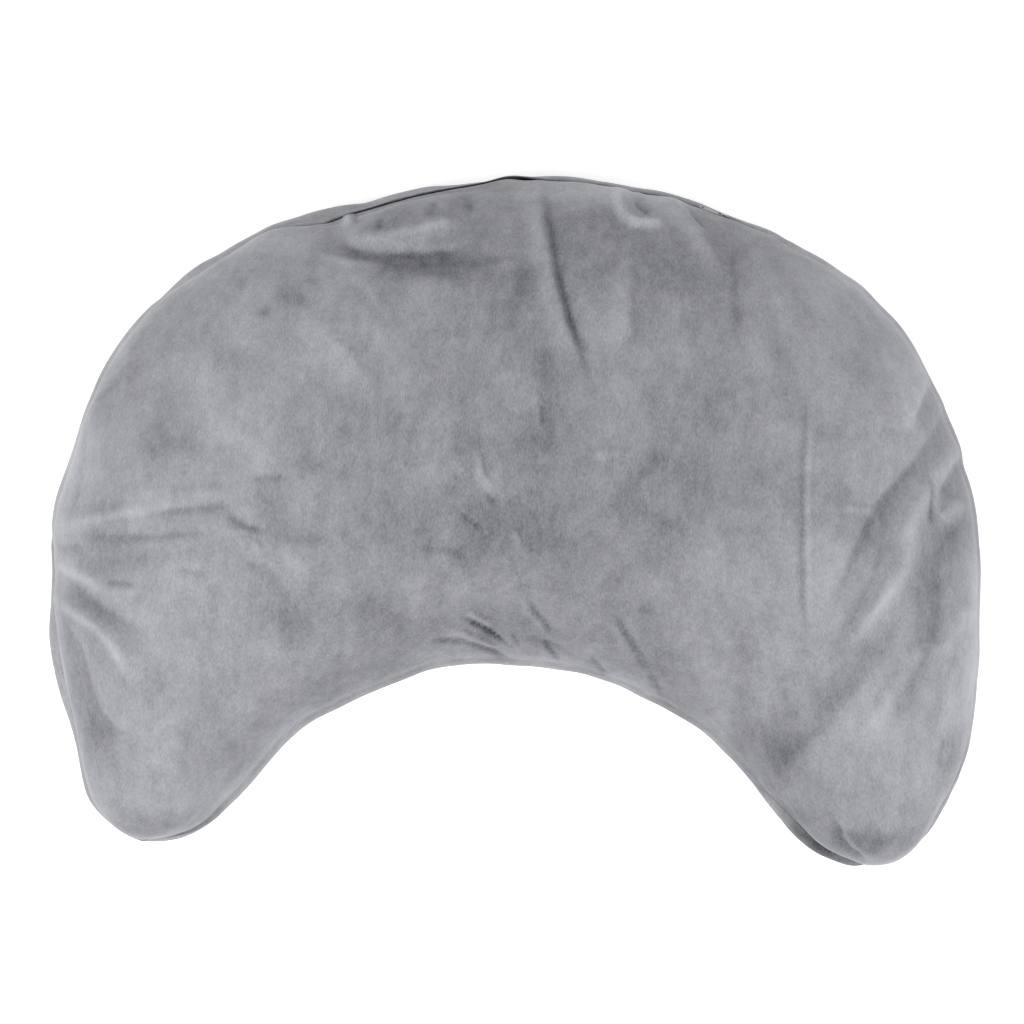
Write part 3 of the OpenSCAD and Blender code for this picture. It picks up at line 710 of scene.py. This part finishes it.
def follow_outline(grid, rows, upper):
    """Moves a cover grid sideways to the real outline and to the slit's line."""
    moved = grid.copy()
    ways = seam_ways(grid)
    slit_reach = SLIT_REACH_TOP if upper else SLIT_REACH_UNDER
    seam_reach = SEAM_REACH_TOP if upper else SEAM_REACH_UNDER
    sides = ((rows.a, rows.a_out, ways[0]), (rows.b, rows.b_out, ways[1]))
    for p, out, way in sides:
        share = zip_share(p)
        to_rim = np.linalg.norm(grid[:, :, :2] - p[:, None, :], axis=2)
        weight = np.exp(-(to_rim / WAVE_REACH) ** 2)
        held = share[:, None] * np.exp(-(way / HELD_REACH) ** 2)
        push = shifts(p, OUTLINE_WAVES)[:, None] * weight * (1 - held)
        slit = slit_shift(p) * share
        push += slit[:, None] * np.exp(-(way / slit_reach) ** 2)
        k = np.minimum(1.0, rows.w / FULL_CHORD * SEAM_SHIFT_EASE)
        push -= (shifts(p, SEAM_INWARD) * k)[:, None] * np.exp(-(way / seam_reach) ** 2)
        moved[:, :, :2] += push[..., None] * out[:, None, :]
        if upper:
            lift = lip_opening(p) * share
            fall = np.exp(-(way / LIP_REACH) ** 2) * lift[:, None]
            moved[:, :, :2] -= LIP_BACK * fall[..., None] * out[:, None, :]
            moved[:, :, 2] += LIP_UP * fall
    return moved


def seam_way_out(rows):
    """Direction out of the seams, for the waist side and the outer side."""
    ways = []
    for outer, p, out in ((False, rows.a, rows.a_out), (True, rows.b, rows.b_out)):
        low = lifted(out * math.cos(ZIP_LEAN), -math.sin(ZIP_LEAN))
        way = mix(zip_out(out), low, seam_roll(p, outer)[:, None])
        ways.append(way / np.linalg.norm(way, axis=1, keepdims=True))
    return ways


def shape_seams(grid, rows, up):
    """Draws the cloth into its seams, turns the zip's lips over, and opens the slit."""
    shaped = grid.copy()
    normal = normals(grid) * (1 if up else -1)
    ways = seam_ways(grid)
    sides = ((rows.a, rows.a_out, ways[0]), (rows.b, rows.b_out, ways[1]))
    k = Layer().ease(rows)
    for (p, out, way), way_out in zip(sides, seam_way_out(rows)):
        share = zip_share(p)[:, None]
        dip = (1 - share) * SEAM_DIP * k[:, None] * np.exp(-(way / SEAM_DIP_REACH) ** 2)
        shaped -= dip[..., None] * way_out[:, None, :]
        hem = share * HEM_RISE * np.exp(-((way - HEM_WAY) / HEM_REACH) ** 2)
        shaped += hem[..., None] * normal
        gap = mix(SEAM_GAP, LIP_GAP, share) * np.exp(-(way / GAP_REACH) ** 2)
        shaped += (gap * (1 if up else -1))[..., None] * zip_up(out)[:, None, :]
    return shaped


def puckers(rows, ways):
    """Small gathers across the seams."""
    total = np.zeros(ways[0].shape)
    for p, way in ((rows.a, ways[0]), (rows.b, ways[1])):
        along = np.concatenate([[0.0], np.cumsum(np.linalg.norm(np.diff(p, axis=0), axis=1))])
        wave = summed_waves(along, 0 * along, PUCKER_WAVES)
        reach = PUCKER_REACH * (1 + 0.4 * waves(along, 0 * along, 0.040))
        fall = np.exp(-(way / np.abs(reach)[:, None]) ** 2) * (1 - np.exp(-(way / 0.0015) ** 2))
        total += wave[:, None] * fall
    return total


def painted_edge_light(rows, ways, up):
    """Painted highlight on the seams' folded edges, and painted shade inside the slit and along the
    waist.
    """
    total = np.zeros(ways[0].shape)
    if up:
        # painted shade along the waist seam
        total = PAINTED_WAIST_SHADE * np.exp(-(ways[0] / WAIST_REACH) ** 2)
    for p, way in ((rows.a, ways[0]), (rows.b, ways[1])):
        share = smooth(10 * zip_share(p) - 9)[:, None]
        lip = np.exp(-(way / LIP_EDGE_REACH) ** 2)
        seam = np.exp(-((way - EDGE_WAY) / EDGE_REACH) ** 2)
        # painted highlight on the folded edges, painted shade on the lower lip inside the slit
        total += mix(PAINTED_EDGE_HIGHLIGHT * seam, (PAINTED_EDGE_HIGHLIGHT if up else PAINTED_GAP_SHADE) * lip, share)
    return total


def with_flanges(grid, rows, tone):
    """Adds the seam allowances, which run in between the panels, painted with shade."""
    k = Layer().ease(rows)
    before, after = [], []
    way_outs = seam_way_out(rows)
    for t in (1.0, 0.6, 0.25):
        for side, p, way_out, edge in ((before, rows.a, way_outs[0], grid[:, 0]),
                                       (after, rows.b, way_outs[1], grid[:, -1])):
            depth = mix(FLANGE_DEPTH, LIP_FLANGE_DEPTH, zip_share(p)) * k * t
            side.append(edge - depth[:, None] * way_out)
    whole = np.concatenate([np.stack(before, 1), grid, np.stack(after[::-1], 1)], 1)
    # the allowances between the panels get painted shade
    return whole, np.pad(tone, ((0, 0), (FLANGE, FLANGE)), constant_values=PAINTED_GAP_SHADE)




def finished_grid(base, rows, up, relax=None):
    """The cover's surface with all its folds, and the tone of its pile: painted light and shade, with
    spots of crushed pile.
    """
    grid = follow_outline(base, rows, up)
    if relax is not None:
        grid = grid + relax
    sign = 1 if up else -1
    normal = normals(grid) * sign
    ways = seam_ways(grid)
    near = np.minimum(*ways)
    hold = 1 - np.exp(-(near / 0.006) ** 2)
    x, y = grid[..., 0], grid[..., 1]
    if up:
        height, tone = folds_and_tones(grid)
        height = np.maximum(height, -DEEPEST) * (1 - np.exp(-(near / 0.003) ** 2))
        height += hold * summed_waves(x, y, TOP_WAVES)
    else:
        tone = spots(from_above(grid), UNDER_SPOTS) * np.exp(-(near / 0.035) ** 2)
        resting = np.exp(-np.maximum(grid[..., 2], 0) / 0.010)
        height = hold * (1 - resting) * summed_waves(x, y, UNDER_WAVES)
        crease = np.maximum(0, 1 - np.abs(waves(x, y, CREASE_LENGTH)) / CREASE_SHARE)
        crease = crease * (1 - np.exp(-(near / 0.040) ** 2))
        height -= CREASE_DEPTH * hold * crease
        # painted shade in the under panel's creases
        tone -= CREASE_PAINTED_SHADE * hold * crease
    height += PUCKER_HEIGHT * puckers(rows, ways)
    done = shape_seams(grid + height[..., None] * normal, rows, up)
    if not up:
        done[..., 2] = np.maximum(done[..., 2], 0.0)
    # painted light and shade: fold slopes turned towards LIGHT_WAY are painted lighter, those turned
    # away darker
    lean = ((normals(done) * sign - normal) * LIGHT_WAY).sum(-1)
    tone = tone + PAINTED_SLOPE_SHADE * np.clip(lean, -0.5, 0.5) + painted_edge_light(rows, ways, up)
    return with_flanges(done, rows, tone)


def closed(top, under):
    """One closed skin through both grids, joined at their seams."""
    n, m = top.shape[:2]
    inner = under[:, 1:-1]
    width = inner.shape[1]
    points = np.concatenate([top.reshape(-1, 3), inner.reshape(-1, 3)])
    top_at = np.arange(n * m).reshape(n, m)
    under_at = np.concatenate([top_at[:, :1], n * m + np.arange(n * width).reshape(n, width),
                               top_at[:, -1:]], 1)
    faces = []
    for at, up in ((top_at, True), (under_at, False)):
        q = np.stack([at[:-1, :-1], at[1:, :-1], at[1:, 1:], at[:-1, 1:]], -1).reshape(-1, 4)
        faces += [list(f) for f in (q if up else q[:, ::-1])]
    for row, first in ((0, True), (n - 1, False)):
        ring = list(top_at[row]) + list(under_at[row, 1:-1][::-1])
        faces.append(ring[::-1] if first else ring)
    return points, faces, under_at


def settled(top, under):
    """The slack cover, closed at its seams, swells a little: how far its points move."""
    n, m = top.shape[:2]
    points, faces, under_at = closed(top, under)
    body = make_object("settling", points, faces)
    held = body.vertex_groups.new(name="held")
    held.add([int(v) for v in np.unique(under_at)], 1.0, "REPLACE")
    loose = body.vertex_groups.new(name="loose")
    ways = seam_ways(top)
    near = np.minimum(*ways)
    give = 0.35 + 0.65 * np.exp(-(near / 0.045) ** 2)
    patchy = waves(top[..., 0], top[..., 1], 0.11, draw=np.random.default_rng(11))
    give = np.clip(give + 0.35 * patchy, 0, 1).ravel()
    for v, share in enumerate(give):
        loose.add([v], float(share), "REPLACE")
    cloth = body.modifiers.new("cloth", "CLOTH")
    s = cloth.settings
    s.quality = 4
    s.mass = 0.25
    s.tension_stiffness = s.compression_stiffness = 12.0
    s.shear_stiffness = 4.0
    s.bending_stiffness = CLOTH_BEND
    s.tension_damping = s.compression_damping = 8.0
    s.use_pressure = True
    s.uniform_pressure_force = CLOTH_PRESSURE
    s.vertex_group_mass = "held"
    s.vertex_group_shrink = "loose"
    s.shrink_min = 0.0
    s.shrink_max = -CLOTH_SLACK
    s.effector_weights.gravity = 0.0
    cloth.collision_settings.use_collision = False
    cloth.point_cache.frame_end = CLOTH_FRAMES
    scene = bpy.context.scene
    for frame_number in range(1, CLOTH_FRAMES + 1):
        scene.frame_set(frame_number)
    seen = body.evaluated_get(bpy.context.evaluated_depsgraph_get()).to_mesh()
    after = np.zeros(len(points) * 3, np.float32)
    seen.vertices.foreach_get("co", after)
    bpy.data.objects.remove(body, do_unlink=True)
    scene.frame_set(1)
    return after.reshape(-1, 3)[:n * m].reshape(n, m, 3).astype(float) - top


def blurred(field, rounds):
    """The field smoothed along both ways of its grid, with its edges kept."""
    f = field.copy()
    for _ in range(rounds):
        f[1:-1] = (f[:-2] + 2 * f[1:-1] + f[2:]) / 4
        f[:, 1:-1] = (f[:, :-2] + 2 * f[:, 1:-1] + f[:, 2:]) / 4
    return f


def doubled(field, axis):
    """Twice as many steps along an axis, on smooth curves through the old values."""
    f = np.moveaxis(field, axis, 0)
    padded = np.concatenate([2 * f[:1] - f[1:2], f, 2 * f[-1:] - f[-2:-1]])
    middle = (9 * (padded[1:-2] + padded[2:-1]) - padded[:-3] - padded[3:]) / 16
    out = np.zeros((2 * len(f) - 1,) + f.shape[1:])
    out[::2] = f
    out[1::2] = middle
    return np.moveaxis(out, 0, axis)


# -------- materials
BAND_SCALE = 0.05 * 2 * math.pi    # a wave texture's scale for one band in each metre


def node(tree, kind, **values):
    made = tree.nodes.new(kind)
    for key, value in values.items():
        if key in made.inputs:
            made.inputs[key].default_value = value
        else:
            setattr(made, key, value)
    return made


def new_material(name, roughness, metallic=0.0, specular=0.3):
    material = bpy.data.materials.new(name)
    material.use_nodes = True
    tree = material.node_tree
    shader = tree.nodes["Principled BSDF"]
    shader.inputs["Roughness"].default_value = roughness
    shader.inputs["Metallic"].default_value = metallic
    shader.inputs["Specular IOR Level"].default_value = specular
    place = tree.nodes.new("ShaderNodeTexCoord").outputs["Object"]
    return material, tree, shader, place


def stretched(tree, place, scale):
    mapping = tree.nodes.new("ShaderNodeMapping")
    mapping.inputs["Scale"].default_value = scale
    tree.links.new(place, mapping.inputs["Vector"])
    return mapping.outputs["Vector"]


def noise(tree, place, scale, detail=3.0, rough=0.55, stretch=None):
    made = node(tree, "ShaderNodeTexNoise", Scale=scale, Detail=detail, Roughness=rough)
    source = stretched(tree, place, stretch) if stretch else place
    tree.links.new(source, made.inputs["Vector"])
    return made.outputs["Fac"]


def banded(tree, place, pitch, direction, distortion):
    """Light and dark bands, a pitch apart."""
    wave = node(tree, "ShaderNodeTexWave", Scale=BAND_SCALE / pitch, Distortion=distortion)
    wave.bands_direction = direction
    tree.links.new(place, wave.inputs["Vector"])
    return wave.outputs["Fac"]


def weighted(tree, start, *parts):
    """start plus each source times its weight."""
    total = None
    for source, weight in parts:
        made = node(tree, "ShaderNodeMath", operation="MULTIPLY_ADD")
        tree.links.new(source, made.inputs[0])
        made.inputs[1].default_value = weight
        if total is None:
            made.inputs[2].default_value = start
        else:
            tree.links.new(total, made.inputs[2])
        total = made.outputs[0]
    return total


def tinted(tree, shader, share, dark, light):
    """Colour between dark and light."""
    mixed = node(tree, "ShaderNodeMix", data_type="RGBA")
    mixed.inputs[6].default_value = (*dark, 1.0)
    mixed.inputs[7].default_value = (*light, 1.0)
    tree.links.new(share, mixed.inputs[0])
    tree.links.new(mixed.outputs[2], shader.inputs["Base Color"])


def bumped(tree, shader, height, distance, strength=1.0):
    bump = node(tree, "ShaderNodeBump", Strength=strength, Distance=distance)
    tree.links.new(height, bump.inputs["Height"])
    tree.links.new(bump.outputs["Normal"], shader.inputs["Normal"])


def velvet_material(name, dark, light):
    """Short pile, brushed in patches, and lighter or darker by the painted light and shade and the
    crushed pile in its layer.
    """
    material, tree, shader, place = new_material(name, 0.95, specular=0.12)
    shader.inputs["Sheen Weight"].default_value = 0.32
    shader.inputs["Sheen Roughness"].default_value = 0.35
    shader.inputs["Sheen Tint"].default_value = (0.95, 0.96, 1.0, 1.0)
    patches = noise(tree, place, 15.0, 4.0, 0.55, (1.0, 0.7, 1.0))
    brush = noise(tree, place, 46.0, 4.0, 0.62, (1.0, 0.5, 1.0))
    mottle = noise(tree, place, 160.0, 3.0, 0.65, (1.0, 0.6, 1.0))
    pile = noise(tree, place, 1000.0, 3.0, 0.75, (1.0, 0.40, 1.0))
    pile_and_painted_light = node(tree, "ShaderNodeAttribute", attribute_name="pile_and_painted_light").outputs["Fac"]
    weights = (0.34, 0.30, 0.27, 0.50)
    # the layer adds painted light and shade, with spots of crushed pile, to the colour
    parts = list(zip((patches, brush, mottle, pile), weights)) + [(pile_and_painted_light, 0.9)]
    tinted(tree, shader, weighted(tree, 0.5 - sum(weights) / 2, *parts), dark, light)
    height = weighted(tree, 0.0, (pile, 1.0), (mottle, 0.8))
    bumped(tree, shader, height, 0.0005, 0.4)
    return material


def woven_material(name, dark, light, pitch, roughness=0.85):
    """Plain weave: two crossing sets of threads a pitch apart, a little uneven."""
    material, tree, shader, place = new_material(name, roughness, specular=0.2)
    sets = [banded(tree, place, pitch, axis, 0.6) for axis in ("X", "Y")]
    slub = noise(tree, place, 0.25 / pitch, 3.0)
    stain = noise(tree, place, 30.0, 3.0)
    share = weighted(tree, -0.1, (sets[0], 0.25), (sets[1], 0.25), (slub, 0.4), (stain, 0.3))
    tinted(tree, shader, share, dark, light)
    bumped(tree, shader, weighted(tree, 0.0, (sets[0], 0.5), (sets[1], 0.5), (slub, 0.5)), 0.0002)
    return material


def fluffy_material(name, dark, light):
    """Loose fibre in soft tufts."""
    material, tree, shader, place = new_material(name, 1.0, specular=0.1)
    shader.inputs["Sheen Weight"].default_value = 0.3
    tufts = noise(tree, place, 60.0, 5.0, 0.7)
    hairs = noise(tree, place, 500.0, 3.0, 0.7, (1.0, 0.2, 0.5))
    tinted(tree, shader, weighted(tree, 0.0, (tufts, 0.6), (hairs, 0.4)), dark, light)
    bumped(tree, shader, weighted(tree, 0.0, (tufts, 1.0), (hairs, 0.4)), 0.003)
    return material


def thread_material(name, dark, light, pitch):
    """Twisted thread: slanting bands with fine hairs."""
    material, tree, shader, place = new_material(name, 0.7, specular=0.3)
    shader.inputs["Sheen Weight"].default_value = 0.2
    twist = banded(tree, place, pitch, "DIAGONAL", 1.0)
    hairs = noise(tree, place, 2500.0, 2.0)
    tinted(tree, shader, weighted(tree, 0.0, (twist, 0.6), (hairs, 0.4)), dark, light)
    bumped(tree, shader, twist, 0.0002)
    return material


def coil_material(name, dark, light, pitch):
    """Nylon coil: smooth round turns across the zip."""
    material, tree, shader, place = new_material(name, 0.38, specular=0.5)
    turns = banded(tree, place, pitch, "X", 0.0)
    wear = noise(tree, place, 200.0, 2.0)
    tinted(tree, shader, weighted(tree, 0.0, (turns, 0.8), (wear, 0.25)), dark, light)
    bumped(tree, shader, turns, 0.0006)
    return material


def worn_metal(name, dark, light, roughness, metallic):
    """Cast metal or enamel: small pits, soft scratches, and lighter worn patches."""
    material, tree, shader, place = new_material(name, roughness, metallic, 0.5)
    pits = noise(tree, place, 900.0, 3.0)
    wear = noise(tree, place, 120.0, 4.0, 0.65)
    scratch = noise(tree, place, 400.0, 2.0, 0.5, (0.15, 1.0, 1.0))
    tinted(tree, shader, weighted(tree, -0.3, (wear, 1.0), (scratch, 0.6)), dark, light)
    rough = weighted(tree, roughness - 0.15, (wear, 0.2), (scratch, 0.1))
    tree.links.new(rough, shader.inputs["Roughness"])
    bumped(tree, shader, weighted(tree, 0.0, (pits, 0.4), (scratch, 0.6)), 0.00005)
    return material


def dress(material, *names):
    """Gives CAD nodes a material."""
    for name in names:
        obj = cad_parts[name]
        if not obj.material_slots:
            obj.data.materials.append(material)
        for slot in obj.material_slots:
            slot.material = material


def stand_in(piece, node_name):
    """Puts a padded piece in place of its CAD solid."""
    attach(piece, "pillow")
    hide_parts(node_name)


def cover_panel(name, grid, pile_and_painted_light, up, node_name):
    panel = sheet_object(name, grid, up, VELVET, FLANGE)
    paint(panel, "pile_and_painted_light", pile_and_painted_light)
    stand_in(panel, node_name)


def casing_panel(name, grid, up, node_name):
    """Half of the insert's casing, with slack wrinkles."""
    x, y = grid[..., 0], grid[..., 1]
    near = np.minimum(*seam_ways(grid))
    hold = 1 - np.exp(-(near / 0.010) ** 2)
    wrinkles = 0.6 * waves(x, y, WRINKLE_LENGTH) + 0.4 * waves(x, y, WRINKLE_LENGTH / 3)
    height = WRINKLE_HEIGHT * hold * wrinkles
    lift = np.where(grid[..., 2] < 0.012, np.maximum(height, 0.0), height)
    grid = grid + (lift if up else -lift)[..., None] * normals(grid)
    stand_in(sheet_object(name, grid, up, COTTON), node_name)


# -------- build
make_camera()
make_lights()
make_floor()
bpy.context.scene.view_settings.view_transform = "Standard"

VELVET = velvet_material("velvet", (0.040, 0.041, 0.046), (0.478, 0.482, 0.512))
ROWS, COLUMNS, FINE = 135, 40, 4

cover = Layer()
relax = None
coarse = Rows(ROWS)
relax = settled(top_grid(coarse, cover, COLUMNS), under_grid(coarse, cover, 3, 4, 4))
relax = relax - CLOTH_TAKE_OUT * blurred(relax, CLOTH_SMOOTHING)
moved = np.maximum(np.linalg.norm(relax, axis=-1), 1e-9)
relax *= np.minimum(1.0, CLOTH_CAP / moved)[..., None]
relax = doubled(doubled(doubled(relax, 0), 1), 1)
rows = Rows(ROWS * 2)
top = top_grid(rows, cover, COLUMNS * FINE)
under = under_grid(rows, cover, 10, 14, 20)
top, under = roll_seams(top, under, rows)
top, pile_and_painted_light = finished_grid(top, rows, True, relax)
cover_panel("cover_top", top, pile_and_painted_light, True, "cover_top_panel")
under, pile_and_painted_light = finished_grid(under, rows, False)
cover_panel("cover_under", under, pile_and_painted_light, False, "cover_bottom_panel")

# The insert: a cotton casing, and the fibre that fills it
COTTON = woven_material("cotton_casing", (0.62, 0.61, 0.58), (0.83, 0.82, 0.79), 0.0007)
FIBRE = fluffy_material("fibre", (0.70, 0.70, 0.69), (0.92, 0.92, 0.91))
casing = Layer(inset=0.015, seam=0.018, drop=0.0058, under=0.0032, zip_room=0.0105)
core = Layer(inset=0.0182, seam=0.0212, drop=0.0090, under=0.0064, zip_room=0.0137)
inner_rows = Rows(80)
WRINKLE_HEIGHT, WRINKLE_LENGTH = 0.0007, 0.05
casing_top = top_grid(inner_rows, casing, 60)
casing_under = under_grid(inner_rows, casing, 3, 6, 10)
casing_panel("insert_pad_top", casing_top, True, "insert_casing_top")
casing_panel("insert_pad_under", casing_under, False, "insert_casing_bottom")

# Lumps in the fibre's upper and lower faces, away from its rim
LUMP_HEIGHT, LUMP_LENGTH = 0.0012, 0.028
RIM_BOTTOM, RIM_MIDDLE, RIM_TOP = 0.03, 0.045, 0.06
core_top = top_grid(inner_rows, core, 40)
core_under = under_grid(inner_rows, core, 3, 6, 8)
points, faces, _ = closed(core_top, core_under)
height = points[:, 2]
lumps = LUMP_HEIGHT * waves(points[:, 0], points[:, 1], LUMP_LENGTH) * np.sign(height - RIM_MIDDLE)
points[:, 2] += np.where((height > RIM_TOP) | (height < RIM_BOTTOM), lumps, 0.0)
points[:, 2] = np.maximum(points[:, 2], core.under)
stand_in(make_object("fibre_core", points, faces, FIBRE), "fibre_fill")

# The zip, the threads and the label
TAPE = woven_material("woven_tape", (0.17, 0.17, 0.18), (0.34, 0.34, 0.36), 0.0009)
COIL = coil_material("nylon_coil", (0.10, 0.10, 0.11), (0.34, 0.34, 0.36), 0.0013)
THREAD = thread_material("spun_thread", (0.17, 0.17, 0.18), (0.42, 0.42, 0.44), 0.0006)
PLATED = worn_metal("plated_metal", (0.22, 0.22, 0.23), (0.46, 0.46, 0.48), 0.38, 1.0)
STOPS = worn_metal("pressed_metal", (0.42, 0.42, 0.43), (0.68, 0.68, 0.70), 0.42, 1.0)
ENAMEL = worn_metal("grey_enamel", (0.14, 0.14, 0.15), (0.30, 0.30, 0.32), 0.45, 0.25)
SATIN = woven_material("label_satin", (0.78, 0.78, 0.76), (0.93, 0.93, 0.91), 0.00045, 0.42)
dress(TAPE, "zip_tape_upper", "zip_tape_lower")
dress(COIL, "zip_coil_upper", "zip_coil_lower")
dress(THREAD, "cover_seam_thread", "zip_stitching", "zip_end_tacks", "insert_closing_stitches")
dress(PLATED, "zip_slider_body", "zip_slider_bail")
dress(STOPS, "zip_top_stops", "zip_bottom_stop")
dress(ENAMEL, "zip_pull_tab")
dress(SATIN, "care_label")
